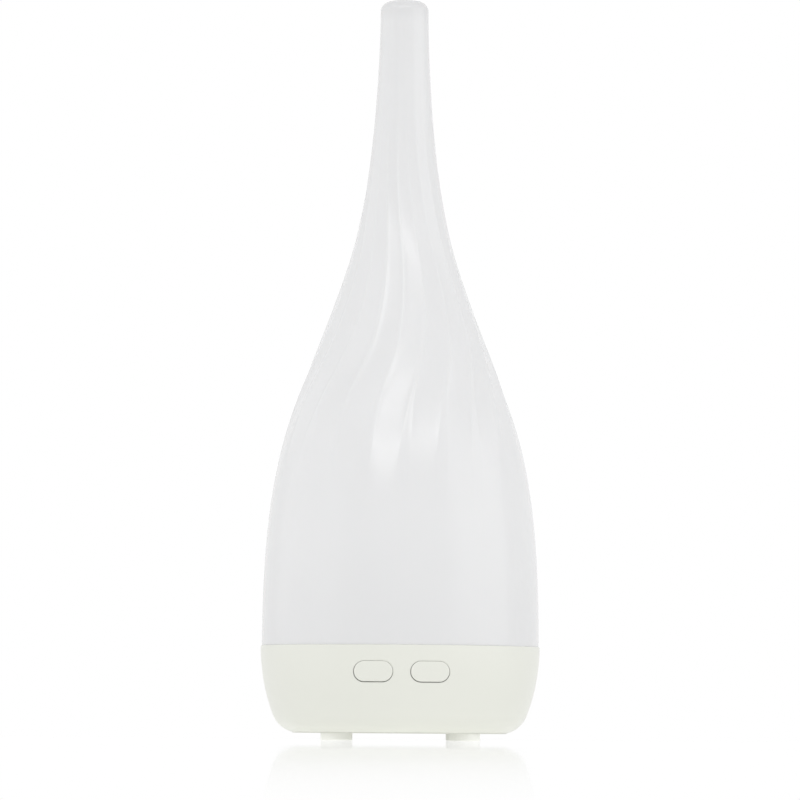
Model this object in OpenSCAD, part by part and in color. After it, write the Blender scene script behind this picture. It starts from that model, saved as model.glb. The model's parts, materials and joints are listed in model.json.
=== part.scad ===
// Ultrasonic essential oil diffuser. A bottle-shaped mist cover lifts off a round base, which
// holds the water tank, the mist transducer, the lamps, the fan and the electronics.
// Millimetres, +Z up. The origin is on the floor under the centre, and the front faces -Y.

/* [Base] */
// Diameter at the widest place, just under the seam
body_d = 95; // [95:0.5:110]
// Height of the seam between the base and the cover
base_h = 32; // [32:0.5:36]
// Wall of the base housing
wall = 2.2; // [1.8:0.1:2.4]
// Radius of the curve of the base's side, seen from the front
side_r = 65; // [58:1:90]
// Radius of the base's bottom corner
corner_r = 9.6; // [9:0.1:10.5]
// Rounding of the housing's top edge
rim_round = 0.3; // [0.2:0.1:1]
// Height of the feet
foot_h = 2.4; // [1.6:0.1:2.8]
// Diameter of a foot
foot_d = 10.7; // [9:0.1:11.5]
// Distance between neighbouring feet
foot_pitch = 43; // [40:0.5:44]
// Thickness of the bottom plate
plate_t = 2.8; // [2.6:0.1:3]
// Diameter of the bottom plate
plate_d = 73; // [72:0.1:74]

/* [Mist cover] */
// Height of the whole diffuser
total_h = 253; // [240:1:290]
// Wall of the cover
cover_wall = 2.2; // [1.8:0.1:2.4]
// Diameter of the spout
spout_d = 16.4; // [15:0.1:24]
// Diameter of the hole that the mist leaves by
outlet_d = 10; // [8:0.5:11]
// Length of that hole
outlet_l = 4; // [3:0.5:8]
// Height of the steepest place of the shoulder
waist_h = 162.3; // [150:0.1:175]
// Diameter of the cover at that place
waist_d = 37.2; // [30:0.1:50]
// Lean of the shoulder from upright at that place
waist_lean = 17.7; // [10:0.1:25]
// How far the lower bulge keeps its width
belly_pull = 76; // [60:1:80]
// How far the shoulder stays straight below the steepest place
shoulder_pull = 50.4; // [40:0.1:60]
// How far the shoulder stays straight above the steepest place
neck_pull = 33.9; // [25:0.1:40]

/* [Flutes of the cover] */
// Number of flutes round the shoulder
flute_count = 20; // [12:1:20]
// Depth of a flute at the edges of its floor
flute_depth = 0.4; // [0.3:0.05:0.9]
// Width of a flute's flat floor, in degrees round the axis
flute_w = 12.6; // [8:0.1:13]
// Height where the edges of a flute run out on the bulge
flute_low = 98; // [90:1:110]
// Height over which they reach their full depth
flute_rise = 20; // [16:1:30]
// Height where they fade out on the neck
flute_top = 205; // [180:1:230]
// Height over which they fade
flute_fade = 87; // [40:1:110]
// Turn of the swirl down the shoulder, in degrees
flute_turn = 14; // [0:1:30]
// Height where the swirl begins
swirl_top = 150; // [130:1:160]
// Height over which it turns
swirl_h = 55; // [40:1:80]

/* [Water tank and lid] */
// Height of the tank's rim above the seam
tank_h = 20; // [16:0.5:24]
// Wall of the tank
tank_wall = 2; // [1.5:0.1:2.5]
// Thickness of the tank's floor
deck_t = 1.7; // [1.5:0.1:1.8]
// Bore of the tube that brings air up through the tank
air_bore = 13; // [10:0.5:14]
// Wall of the air tube
air_wall = 1.5; // [1.2:0.1:1.8]
// Thickness of the lid
lid_t = 1.8; // [1.4:0.1:2.4]
// Bore of the lid's chimney
chimney_bore = 18; // [14:0.5:24]
// Height of the chimney's mouth above the tank's rim
chimney_h = 23; // [18:0.5:30]

/* [Buttons] */
// Width of a button cap
cap_w = 12.7; // [11:0.1:13.5]
// Height of a button cap
cap_h = 6.6; // [5.5:0.1:7]
// Distance between the two buttons
button_pitch = 19; // [18:0.1:21]
// Height of the buttons' centres
button_z = 23; // [22.5:0.1:23.3]
// How far a button moves when pressed
button_travel = 0.5; // [0.3:0.1:0.6]

/* [Fan and transducer] */
// Side of the square fan
fan_size = 30; // [28:0.5:31]
// Depth of the fan
fan_depth = 10; // [8:0.5:10.5]
// Distance between neighbouring fan screws
fan_hole_pitch = 24; // [22:0.5:24.5]
// Number of fan blades
fan_blades = 7; // [5:1:9]
// Diameter of the transducer disc
disc_d = 20; // [16:0.5:20]
// Thickness of the transducer disc
disc_t = 1.2; // [0.8:0.1:1.4]
// Number of lamps on the ring under the tank
lamp_count = 6; // [4:1:8]

/* [Power inlet] */
// Height of the inlet's axis
jack_z = 15; // [14.5:0.1:15.5]
// Width of the inlet's body
jack_w = 9; // [8:0.5:10]
// Height of the inlet's body
jack_h = 11; // [10:0.1:11]
// Length of the inlet's body
jack_l = 13.2; // [11:0.1:13.5]
// Bore of the inlet
jack_bore = 6.2; // [5.5:0.1:6.5]
// Diameter of the inlet's centre pin
pin_d = 2; // [1.6:0.1:2.5]
// Diameter of the hole in the housing in front of the inlet
inlet_d = 8.6; // [8:0.1:10]

/* [Circuit boards] */
// Thickness of the main, inlet and button boards
board_t = 1.6; // [1:0.1:1.8]
// Width of the main board
board_w = 34; // [33.5:0.5:34.5]
// Gap between the main board and the bottom plate
standoff_h = 3.3; // [2.5:0.1:3.5]
// Height of the tall capacitors
capacitor_h = 11.5; // [8:0.5:11.5]

/* [Fits] */
// Gap all round a button cap
button_gap = 0.3; // [0.2:0.05:0.4]
// Gap between the cover and the collar that centres it
cover_gap = 0.3; // [0.2:0.05:0.5]
// Open seam between the cover and the base
seam_gap = 0.05; // [0.05:0.05:0.3]
// Gap between the lid and the tank's rim
lid_gap = 0.1; // [0.1:0.05:0.2]
// Gap round the bottom plate and the tank's floor
part_gap = 0.2; // [0.15:0.05:0.3]
// Gap round the fan's shaft in its bearing
bearing_gap = 0.04; // [0.02:0.01:0.08]

/* [Hidden] */
$fn = 96;
eps = 0.5;

// Colours
cover_white = [0.93, 0.93, 0.94];
base_white = [0.9, 0.91, 0.87];
clear_plastic = [0.85, 0.9, 0.92];
black_plastic = [0.12, 0.12, 0.13];
board_green = [0.1, 0.35, 0.2];
steel = [0.7, 0.7, 0.72];
brass = [0.8, 0.68, 0.35];
silicone = [0.8, 0.8, 0.78];
copper = [0.75, 0.42, 0.25];

// Screws: [shank radius, head radius, head height]
big_screw = [1.5, 2.9, 1.4];
small_screw = [1, 2, 1.2];
// Gap round a screw's shank where it passes through
screw_gap = 0.2;
// Width and depth of the cross in a screw's head
cross_w = 0.6;
cross_depth = 0.6;
// Gap between flat faces that only just clear each other
face_gap = 0.05;

// Base outline: a side arc and a corner arc that meet in one tangent
body_r = body_d / 2;
side_cx = body_r - side_r;
side_cz = base_h - rim_round;
corner_cz = foot_h + corner_r;
corner_cx = side_cx + sqrt(pow(side_r - corner_r, 2) - pow(side_cz - corner_cz, 2));
blend_a = asin((side_cz - corner_cz) / (side_r - corner_r));
arc_steps = 10;

// Heights of the bottom plate and what stands on it
plate_r = plate_d / 2;
plate_top = foot_h + plate_t;
pad_recess = 0.4;
pad_chamfer = 0.3;
foot_spots = [for (x = [-1, 1], y = [-1, 1]) [x, y] * foot_pitch / 2];
bottom_seat_z = foot_h + pad_recess + face_gap + big_screw[2];
bottom_screw_l = 9;
lower_ledge_z = plate_top + face_gap;
lower_ledge_t = 1.75;
lower_ledge_top = lower_ledge_z + lower_ledge_t;
lower_ledge_r = 32;
post_r = 3.6;
post_top = 15;
post_rib_t = 2;

// Heights under the tank's floor
deck_z = base_h - deck_t;
gasket_t = 0.8;
upper_ledge_top = deck_z - gasket_t;
upper_ledge_t = 1.6;
upper_ledge_w = 4.9;
upper_ledge_r = body_r - upper_ledge_w;
boss_r = 3;
boss_l = 3.3;
lug_top = deck_z - boss_l;
lug_t = 2;
lug_z = lug_top - lug_t;
lug_r = boss_r + 0.6;
lug_rib_l = 9.5;
lug_rib_h = 4;
lug_ring_r = 32;
lug_spots = [for (a = [25, 155, 205, 335]) [cos(a), sin(a), a]];
screw_roof = 0.8;

// Collar, tank wall and lid
cover_step = 0.2;
cover_r = body_r - cover_step;
cover_z = base_h + seam_gap;
collar_r = cover_r - cover_wall - cover_gap;
collar_wall = 1.5;
collar_h = 4.5;
deck_r = min(collar_r, body_r - wall - part_gap);
gasket_w = 1.8;
moat_w = 1.1;
tank_r = collar_r - collar_wall - moat_w;
tank_in = tank_r - tank_wall;
rim_z = base_h + tank_h;
lid_step = 0.2;
lid_r = tank_r - lid_step;
skirt_gap = 0.3;
skirt_r = tank_in - skirt_gap;
skirt_h = 4;
skirt_t = 1.5;
chimney_r = chimney_bore / 2;
lid_flat_w = 6;
cone_r = tank_in - lid_flat_w;
cone_h = 7;

// Air path: the fan blows up through a funnel into the tube in the tank
fan_y = 10;
air_y = 20;
air_r = air_bore / 2;
air_drop = 3;
air_top = rim_z - air_drop;
funnel_wall = 1.6;
funnel_lip = 2;
funnel_end_t = 0.2;
flange_t = 1.6;
fan_top = plate_top + fan_depth;
fan_rim = 0.8;
fan_bore_r = fan_size / 2 - fan_rim;
fan_screw_bite = 1.9;
fan_hole_spots = [for (x = [-1, 1], y = [-1, 1]) [x * fan_hole_pitch / 2, fan_y + y * fan_hole_pitch / 2]];
inlet_tube_l = 3.5;
inlet_tube_z = deck_z - inlet_tube_l;
socket_h = 3;
socket_z = inlet_tube_z - part_gap;
slot_w = 1.8;
slot_pitch = 3.6;
slot_rim = 1;

// Fan inside: frame hub, bearing, stator, magnet and rotor
fan_floor_t = 1.2;
fan_hub_r = 8.2;
fan_skin = 1;
magnet_t = 0.6;
magnet_gap = 0.4;
stator_r = fan_hub_r - fan_skin - magnet_t - magnet_gap;
pole_w = 2.2;
pole_shoe_t = 0.9;
pole_slot_w = 1.2;
core_r = 4.2;
shaft_r = 1;
shaft_gap = 0.3;
bearing_r = 2.2;
bearing_floor_t = 0.6;
bearing_room = 1;
sleeve_r = 3;
rotor_gap = 0.6;
rotor_z = plate_top + fan_floor_t + rotor_gap;
rotor_sink = 0.8;
rotor_top = fan_top - rotor_sink;
rotor_roof_t = 1.2;
rotor_room_top = rotor_top - rotor_roof_t;
blade_gap = 0.5;
blade_r = fan_bore_r - blade_gap;
blade_t = 0.9;
blade_pitch = 42;
spoke_w = 2;

// Transducer: a disc in a silicone ring, held up by a clamp with three ears
trans_y = -8;
disc_r = disc_d / 2;
well_step = 1.5;
well_r = disc_r - well_step;
seal_w = 2;
seal_r = disc_r + seal_w;
seal_h = 3.5;
seal_grip = 1.3;
seal_in = disc_r - seal_grip;
seal_lip = 1.1;
disc_z = deck_z - seal_lip - disc_t;
socket_wall = 1.9;
socket_r = seal_r + part_gap;
clamp_t = 2;
clamp_rim = 1;
clamp_top = deck_z - seal_h;
clamp_z = clamp_top - clamp_t;
ear_reach = 4.5;
ear_ring_r = seal_r + ear_reach;
ear_r = 3;
ear_angles = [30, 150, 270];

// Lamp ring round the transducer
lamp_ring_gap = 0.5;
lamp_ring_w = 6;
lamp_in_r = ear_ring_r + ear_r + lamp_ring_gap;
lamp_out_r = lamp_in_r + lamp_ring_w;
lamp_mid_r = (lamp_in_r + lamp_out_r) / 2;
lamp_size = [3.2, 2.8, 1.3];
lamp_board_t = 1.2;
lamp_top_gap = 0.3;
lamp_board_z = deck_z - lamp_top_gap - lamp_size[2] - lamp_board_t;
lamp_open_a = 50;
lamp_margin_a = 20;
stake_r = 1.2;
stake_hole_r = 1.4;
stake_head_r = 2;
stake_head_t = 0.6;
stake_angles = [175, 235, 305, 5];

// Button caps, switches and their board, from the housing wall inwards
cap_proud = 0.3;
rim_w = 0.8;
rim_t = 1;
rim_gap = 0.4;
rim_far_x = (button_pitch + cap_w) / 2 + rim_w;
rim_low_z = button_z - cap_h / 2 - rim_w;
rim_y = rim_gap - sqrt(pow(base_r(rim_low_z, -wall), 2) - pow(rim_far_x, 2));
stem_r = 1.7;
stem_y = rim_y + rim_t;
stem_l = 2.3;
stem_bore_r = 1.8;
switch_side = 6;
switch_d = 2.7;
switch_gap = 0.5;
switch_y = stem_y + button_travel + switch_gap;
stem_stop_gap = 0.2;
switch_bore_d = stem_y + stem_l - switch_y + button_travel + stem_stop_gap;
button_board_y = switch_y + switch_d;
button_board_top = 27.2;
button_board_low = 17.5;
button_post_x = 20.5;
button_post_z = 21.5;
button_post_r = 2.6;
button_board_rim = 3;
button_board_w = 2 * (button_post_x + button_board_rim);
light_x = -button_pitch / 2;
mist_x = button_pitch / 2;

// Power inlet, its small board and the seat in the rear wall
jack_face_y = sqrt(pow(base_r(jack_z - jack_h / 2, -wall), 2) - pow(jack_w / 2, 2)) - part_gap;
jack_back_y = jack_face_y - jack_l;
jack_bore_l = 9.5;
pin_l = 8.5;
jack_seat_w = 13;
jack_seat_h = 14;
jack_seat_t = 2.7;
spot_r = 6.3;
spot_y = jack_face_y + jack_seat_t;
jack_board_z = jack_z - jack_h / 2 - board_t;
jack_board_inset = 0.3;
jack_board_y = jack_back_y + jack_board_inset;
jack_board_l = 9.3;
jack_board_w = 25;
jack_screw_x = 9.5;
jack_screw_inset = 6.6;
jack_screw_spots = [for (x = [-jack_screw_x, jack_screw_x]) [x, jack_board_y + jack_screw_inset]];
jack_post_r = 2.6;

// Main board and what stands on it
board_z = plate_top + standoff_h;
board_top = board_z + board_t;
board_fan_gap = 1.5;
board_rear = fan_y - fan_size / 2 - board_fan_gap;
board_front = -33.5;
board_screw_x = 13.8;
board_screw_front_y = -25;
board_screw_rear_y = -9.8;
board_screw_spots = [
    for (x = [-board_screw_x, board_screw_x], y = [board_screw_front_y, board_screw_rear_y]) [x, y]
];
standoff_r = 2.6;
thread_l = 4;
thread_spare = 1;
capacitor_r = 4;
// The groove round a capacitor: its depth, its lower and its upper edge
capacitor_neck = [0.3, 1.5, 2.3];
capacitor_spots = [[-9.5, -19], [0, -19]];
inductor_spot = [9.8, -17.6];
inductor_r = 4.3;
inductor_h = 6;
inductor_flange_t = 1;
inductor_groove = 0.7;
chip_spot = [-1, -25.9];
chip_size = [9.9, 3.9, 1.5];
chip_leg = [0.4, 1, 0.3];
chip_leg_pitch = 1.27;
chip_leg_under = 0.2;
chip_lift = 0.2;
sink_x = 10;
sink_y = -32.8;
sink_w = 10;
sink_h = 11;
sink_fins = 5;
fin_d = 3.6;
fin_t = 0.9;
sink_base_t = 1.4;
transistor_size = [9.6, 1.6, 8.5];
transistor_leg = [0.8, 0.6, 2];
transistor_leg_pitch = 2.5;
transistor_leg_y = 0.4;
connector_size = [6, 4.4, 6];
connector_wall = 0.8;
connector_slot_h = 2.4;
connector_spots = [
    [-7.2, -10], [7.2, -10], [0, -10], [-13.6, -31.2], [-5, -31.2]
];

// Wires: each pair follows a route, a list of points from one end to the other
wire_r = 0.5;
wire_apart = 2;
wire_sides = 8;
wire_steps = 4;
wire_top = board_top + connector_size[2];
power_route = [
    [-9.5, 30.2, jack_board_z + board_t], [-9.5, 30.2, 14], [-14, 26.5, 18.5], [-18.5, 14, 19],
    [-17, 0, 19.5], [-9, -8.5, 21], [-7.2, -10, 19], [-7.2, -10, wire_top]
];
fan_route = [
    [fan_size / 2, fan_y - 4, plate_top + 4], [fan_size / 2 + 2.5, fan_y - 4, plate_top + 4],
    [19, -1, 14], [13, -8, 20], [8, -10, 20], [7.2, -10, 18.5], [7.2, -10, wire_top]
];
lamp_route = [
    [-21.6, -15.9, lamp_board_z], [-21.6, -15.9, 24], [-18, -24, 21], [-14.5, -30, 20],
    [-13.6, -31.2, 18.5], [-13.6, -31.2, wire_top]
];
transducer_route = [
    [0, trans_y + 1, disc_z], [0, trans_y + 1, 24], [0, -10, 19], [0, -10, wire_top]
];
button_route = [
    [-5, button_board_y + board_t, 21.5], [-5, button_board_y + board_t + 1.6, 21.5],
    [-5, -31.2, 19], [-5, -31.2, wire_top]
];

// Radius of the base outline, grown by a given amount, at height z
function base_r(z, grow) =
    z > side_cz ? body_r + grow
    : z > side_cz - (side_r + grow) * sin(blend_a)
    ? side_cx + sqrt(pow(side_r + grow, 2) - pow(side_cz - z, 2))
    : corner_cx + sqrt(pow(corner_r + grow, 2) - pow(corner_cz - z, 2));

// Points of the base outline from the middle of the floor out to the seam
function base_outline(grow) = concat(
    [[0, foot_h - grow]],
    [for (i = [0:arc_steps]) let (a = -90 + (90 - blend_a) * i / arc_steps)
        [corner_cx, corner_cz] + (corner_r + grow) * [cos(a), sin(a)]],
    [for (i = [1:arc_steps]) let (a = -blend_a * (1 - i / arc_steps))
        [side_cx, side_cz] + (side_r + grow) * [cos(a), sin(a)]]
);

// A cubic curve through four control points, and its direction
function curve(p, u) =
    pow(1 - u, 3) * p[0] + 3 * pow(1 - u, 2) * u * p[1] + 3 * (1 - u) * u * u * p[2]
    + pow(u, 3) * p[3];
function heading(p, u) = unit(
    pow(1 - u, 2) * (p[1] - p[0]) + 2 * (1 - u) * u * (p[2] - p[1]) + u * u * (p[3] - p[2])
);
function unit(v) = v / norm(v);

// The cover's outline is two such curves that meet at the steepest place of the shoulder
lip_r = 2;
cover_steps = 16;
spout_r = spout_d / 2;
lip_z = total_h - lip_r;
waist = [waist_d / 2, waist_h];
waist_way = [-sin(waist_lean), cos(waist_lean)];
lower_curve = [
    [cover_r, cover_z], [cover_r, cover_z + belly_pull], waist - shoulder_pull * waist_way, waist
];
upper_curve = [
    waist, waist + neck_pull * waist_way, [spout_r, lip_z - lip_r], [spout_r, lip_z]
];
// Points along the outline, moved inwards by a depth square to it
function cover_outline(depth) = concat(
    [for (i = [0:cover_steps - 1]) inward(lower_curve, i / cover_steps, depth)],
    [for (i = [0:cover_steps]) inward(upper_curve, i / cover_steps, depth)]
);
function inward(p, u, depth) = let (h = heading(p, u)) curve(p, u) + depth * [-h[1], h[0]];

// Flutes are cut by bars with four corners, two on the floor of the flute and two outside the
// cover, square to the outline. A bar's rings lie on rings of the outline, on every
// second one where it curves little.
flute_start = 2;
flute_out = 0.6;
flute_end = [0.4, 8];
waist_turn = 3;
waist_turn_z = 155;
waist_turn_h = 14;
// Depth below the outline at height z, negative where the bar has left the cover
function flute_at(z) =
    flute_depth * min(1, (z - flute_low) / flute_rise, (flute_top - z) / flute_fade);
function smooth(t) = let (c = min(max(t, 0), 1)) c * c * (3 - 2 * c);
// Turn about the axis at height z: the long swirl, and a slight turn back at the waist
function swirl(z) =
    flute_start - flute_turn * smooth((swirl_top - z) / swirl_h)
    + waist_turn * exp(-pow((z - waist_turn_z) / waist_turn_h, 2));
function turned(p, a) = [p[0] * sin(a), -p[0] * cos(a), p[1]];
// The four corners of a bar where it crosses a ring of the outline
function flute_ring(p, u) =
    let (z = curve(p, u)[1], d = flute_at(z), a = swirl(z), low = inward(p, u, d),
         out = inward(p, u, -flute_out), half = flute_w / 2,
         wide = half + atan((d + flute_out) / out[0]), far = [out[0] / cos(wide), out[1]])
    [turned(low, a - half), turned(far, a - wide), turned(far, a + wide), turned(low, a + half)];
function flute_here(z) = flute_at(z) > -flute_end[0] && z < flute_top + flute_end[1];
flute_rings = [for (c = [[lower_curve, 1], [upper_curve, 2]], i = [0:c[1]:cover_steps - 1])
    let (u = i / cover_steps) if (flute_here(curve(c[0], u)[1])) flute_ring(c[0], u)];

// Shared shapes
module at(spots, z = 0) {
    for (s = spots) translate([s[0], s[1], z]) children();
}

module tube(outer, inner, h) {
    difference() {
        cylinder(r = outer, h = h);
        translate([0, 0, -eps]) cylinder(r = inner, h = h + 2 * eps);
    }
}

// A screw with its head below z = 0 and its shank up to z = length
module screw(kind, length) {
    cylinder(r = kind[0], h = length);
    translate([0, 0, -kind[2]]) difference() {
        cylinder(r = kind[1], h = kind[2]);
        for (a = [0, 90]) rotate(a)
            translate([-kind[0], -cross_w / 2, -eps])
                cube([2 * kind[0], cross_w, cross_depth + eps]);
    }
}

// A solid of the base's outer form, grown by a given amount, up to a given height
module base_form(grow, top) {
    rotate_extrude() polygon(concat(
        base_outline(grow), [[body_r + grow, top], [0, top]]
    ));
}

// The same form up to the seam, with its top edge rounded
module base_solid() {
    rotate_extrude() polygon(concat(
        base_outline(0),
        [for (a = [30:30:90]) [body_r - rim_round, side_cz] + rim_round * [cos(a), sin(a)]],
        [[0, base_h]]
    ));
}

// A bar with round ends that reaches from y = 0 to y = -d
module pill(w, h, d) {
    rotate([90, 0, 0]) {
        for (x = [-1, 1]) translate([x * (w - h) / 2, 0, 0]) cylinder(r = h / 2, h = d);
        translate([-(w - h) / 2, -h / 2, 0]) cube([w - h, h, d]);
    }
}

// Wires swept along a route. The pair lies side by side along the direction across.
function way_point(p, i, t) =
    let (b = p[i], c = p[i + 1], m = (c - p[max(i - 1, 0)]) / 2,
         n = (p[min(i + 2, len(p) - 1)] - b) / 2)
    (2 * pow(t, 3) - 3 * t * t + 1) * b + (pow(t, 3) - 2 * t * t + t) * m
    + (3 * t * t - 2 * pow(t, 3)) * c + (pow(t, 3) - t * t) * n;
function way(p) = concat(
    [for (i = [0:len(p) - 2], k = [0:wire_steps - 1]) way_point(p, i, k / wire_steps)],
    [p[len(p) - 1]]
);

module wire(route, across, shift) {
    path = way([for (p = route) p + across * shift]);
    last = len(path) - 1;
    rings = [for (j = [0:last])
        let (t = j == 0 ? unit(route[1] - route[0])
                 : j == last ? unit(route[len(route) - 1] - route[len(route) - 2])
                 : unit(path[j + 1] - path[j - 1]),
             n = unit(cross(across, t)), b = cross(t, n))
        for (k = [0:wire_sides - 1]) let (a = 360 * k / wire_sides)
            path[j] + wire_r * (cos(a) * n + sin(a) * b)];
    sides = [for (j = [0:last - 1], k = [0:wire_sides - 1], half = [0, 1])
        let (k2 = (k + 1) % wire_sides, a = j * wire_sides, b = a + wire_sides)
        half == 0 ? [a + k, b + k, b + k2] : [a + k, b + k2, a + k2]];
    start_cap = [for (k = [0:wire_sides - 1]) k];
    end_cap = [for (k = [wire_sides - 1:-1:0]) last * wire_sides + k];
    polyhedron(points = rings, faces = concat(sides, [start_cap, end_cap]), convexity = 4);
}

module wire_pair(route, across) {
    for (s = [-1, 1]) wire(route, across, s * wire_apart / 2);
}

// Mist cover and lid
module flute() {
    rows = len(flute_rings);
    points = [for (ring = flute_rings, p = ring) p];
    sides = [for (j = [0:rows - 2], k = [0:3], half = [0, 1])
        let (k2 = (k + 1) % 4, a = 4 * j, b = a + 4)
        half == 0 ? [a + k, b + k, b + k2] : [a + k, b + k2, a + k2]];
    last = 4 * (rows - 1);
    caps = [[0, 1, 2, 3], [last + 3, last + 2, last + 1, last]];
    polyhedron(points = points, faces = concat(sides, caps), convexity = 4);
}

module mist_cover() {
    inside = [for (p = cover_outline(cover_wall)) if (p[1] < total_h - outlet_l) p];
    neck_in = inside[len(inside) - 1][0];
    color(cover_white) difference() {
        rotate_extrude() polygon(concat(
            [[0, cover_z]], cover_outline(0),
            [for (a = [15:15:90]) [spout_r - lip_r, lip_z] + lip_r * [cos(a), sin(a)]],
            [[0, total_h]]
        ));
        rotate_extrude() polygon(concat(
            [[0, cover_z - eps], [inside[0][0], cover_z - eps]], inside,
            [[neck_in, total_h - outlet_l], [0, total_h - outlet_l]]
        ));
        translate([0, 0, total_h - outlet_l - eps]) cylinder(d = outlet_d, h = outlet_l + 2 * eps);
        for (i = [0:flute_count - 1]) rotate(i * 360 / flute_count) flute();
    }
}

module tank_lid() {
    seat_z = rim_z + lid_gap;
    brim_top = seat_z + lid_t;
    cone_top = brim_top + cone_h;
    top = rim_z + chimney_h;
    color(clear_plastic) rotate_extrude() polygon([
        [skirt_r - skirt_t, seat_z], [skirt_r - skirt_t, rim_z - skirt_h],
        [skirt_r, rim_z - skirt_h], [skirt_r, seat_z], [lid_r, seat_z], [lid_r, brim_top],
        [cone_r, brim_top], [chimney_r + lid_t, cone_top], [chimney_r + lid_t, top],
        [chimney_r, top], [chimney_r, cone_top - lid_t], [cone_r - lid_t, seat_z]
    ]);
}

// Base housing, bottom plate and feet
module base_housing() {
    color(base_white) difference() {
        union() {
            difference() {
                base_solid();
                base_form(-wall, base_h + eps);
            }
            intersection() {
                base_form(-wall / 2, base_h);
                union() {
                    lower_ledge();
                    upper_ledge();
                    plate_posts();
                    tank_lugs();
                    jack_seat();
                    jack_posts();
                    button_posts();
                }
            }
        }
        translate([0, 0, -eps]) cylinder(r = plate_r + part_gap, h = lower_ledge_z + eps);
        housing_holes();
    }
}

module lower_ledge() {
    translate([0, 0, foot_h]) tube(body_r, lower_ledge_r, lower_ledge_top - foot_h);
}

module upper_ledge() {
    translate([0, 0, upper_ledge_top - upper_ledge_t]) tube(body_r, upper_ledge_r, upper_ledge_t);
}

module plate_posts() {
    for (s = foot_spots) {
        translate([s[0], s[1], lower_ledge_z]) cylinder(r = post_r, h = post_top - lower_ledge_z);
        translate([0, 0, lower_ledge_z]) rotate(atan2(s[1], s[0]))
            translate([norm(s), -post_rib_t / 2, 0])
                cube([body_r - norm(s), post_rib_t, post_top - lower_ledge_z]);
    }
}

module tank_lugs() {
    for (s = lug_spots) rotate(s[2]) {
        translate([lug_ring_r, 0, lug_z]) cylinder(r = lug_r, h = lug_t);
        translate([lug_ring_r, -boss_r, lug_z]) cube([body_r - lug_ring_r, 2 * boss_r, lug_t]);
        translate([body_r - lug_rib_l, -post_rib_t / 2, lug_z - lug_rib_h])
            cube([lug_rib_l, post_rib_t, lug_rib_h + eps]);
    }
}

module jack_seat() {
    translate([-jack_seat_w / 2, jack_face_y, jack_z - jack_seat_h / 2])
        cube([jack_seat_w, body_r - jack_face_y, jack_seat_h]);
}

module jack_posts() {
    at(jack_screw_spots, lower_ledge_z) cylinder(r = jack_post_r, h = jack_board_z - lower_ledge_z);
}

module button_posts() {
    for (x = [-1, 1]) translate([x * button_post_x, button_board_y, button_post_z])
        rotate([90, 0, 0]) cylinder(r = button_post_r, h = body_r);
}

module housing_holes() {
    at(foot_spots, lower_ledge_z - eps)
        cylinder(r = big_screw[0], h = bottom_seat_z + bottom_screw_l - lower_ledge_z + eps);
    for (s = lug_spots) translate([lug_ring_r * s[0], lug_ring_r * s[1], lug_z - eps])
        cylinder(r = big_screw[0] + screw_gap, h = lug_t + 2 * eps);
    for (s = lug_spots) rotate(s[2]) translate([lug_ring_r, 0, lower_ledge_z - eps])
        cylinder(r = lug_r, h = lower_ledge_t + 2 * eps);
    at(jack_screw_spots, jack_board_z - thread_l + thread_spare)
        cylinder(r = small_screw[0], h = thread_l);
    for (x = [-1, 1]) translate([x * button_post_x, button_board_y + eps, button_post_z])
        rotate([90, 0, 0])
            cylinder(r = small_screw[0], h = thread_l - board_t + thread_spare + eps);
    for (x = [light_x, mist_x]) translate([x, rim_y, button_z])
        pill(cap_w + 2 * button_gap, cap_h + 2 * button_gap, body_r);
    translate([0, jack_face_y - eps, jack_z]) rotate([-90, 0, 0])
        cylinder(d = inlet_d, h = body_r);
    translate([0, spot_y, jack_z]) rotate([-90, 0, 0]) cylinder(r = spot_r, h = body_r);
}

module bottom_plate() {
    color(base_white) difference() {
        union() {
            translate([0, 0, foot_h]) cylinder(r = plate_r, h = plate_t);
            at(board_screw_spots, plate_top) cylinder(r = standoff_r, h = standoff_h);
        }
        at(foot_spots, foot_h - eps) {
            cylinder(d = foot_d, h = pad_recess + eps);
            cylinder(r = big_screw[1] + screw_gap, h = bottom_seat_z - foot_h + eps);
            cylinder(r = big_screw[0] + screw_gap, h = plate_t + 2 * eps);
        }
        at(board_screw_spots, board_z - thread_l + thread_spare)
            cylinder(r = small_screw[0], h = thread_l);
        at(fan_hole_spots, plate_top - fan_screw_bite)
            cylinder(r = small_screw[0], h = fan_screw_bite + eps);
        intake_slots();
    }
}

// Straight slots inside the circle that the fan draws from
module intake_slots() {
    reach = fan_bore_r - slot_rim;
    rows = floor(reach / slot_pitch);
    for (i = [-rows:rows]) {
        half = sqrt(pow(reach, 2) - pow(i * slot_pitch, 2));
        if (half > slot_pitch) translate([-half, fan_y + i * slot_pitch - slot_w / 2, foot_h - eps])
            cube([2 * half, slot_w, plate_t + 2 * eps]);
    }
}

module foot_pads() {
    color(base_white) at(foot_spots) {
        cylinder(r1 = foot_d / 2 - pad_chamfer, r2 = foot_d / 2, h = pad_chamfer);
        translate([0, 0, pad_chamfer]) cylinder(d = foot_d, h = foot_h + pad_recess - pad_chamfer);
    }
}

module bottom_screws() {
    color(steel) at(foot_spots, bottom_seat_z) screw(big_screw, bottom_screw_l);
}

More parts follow.
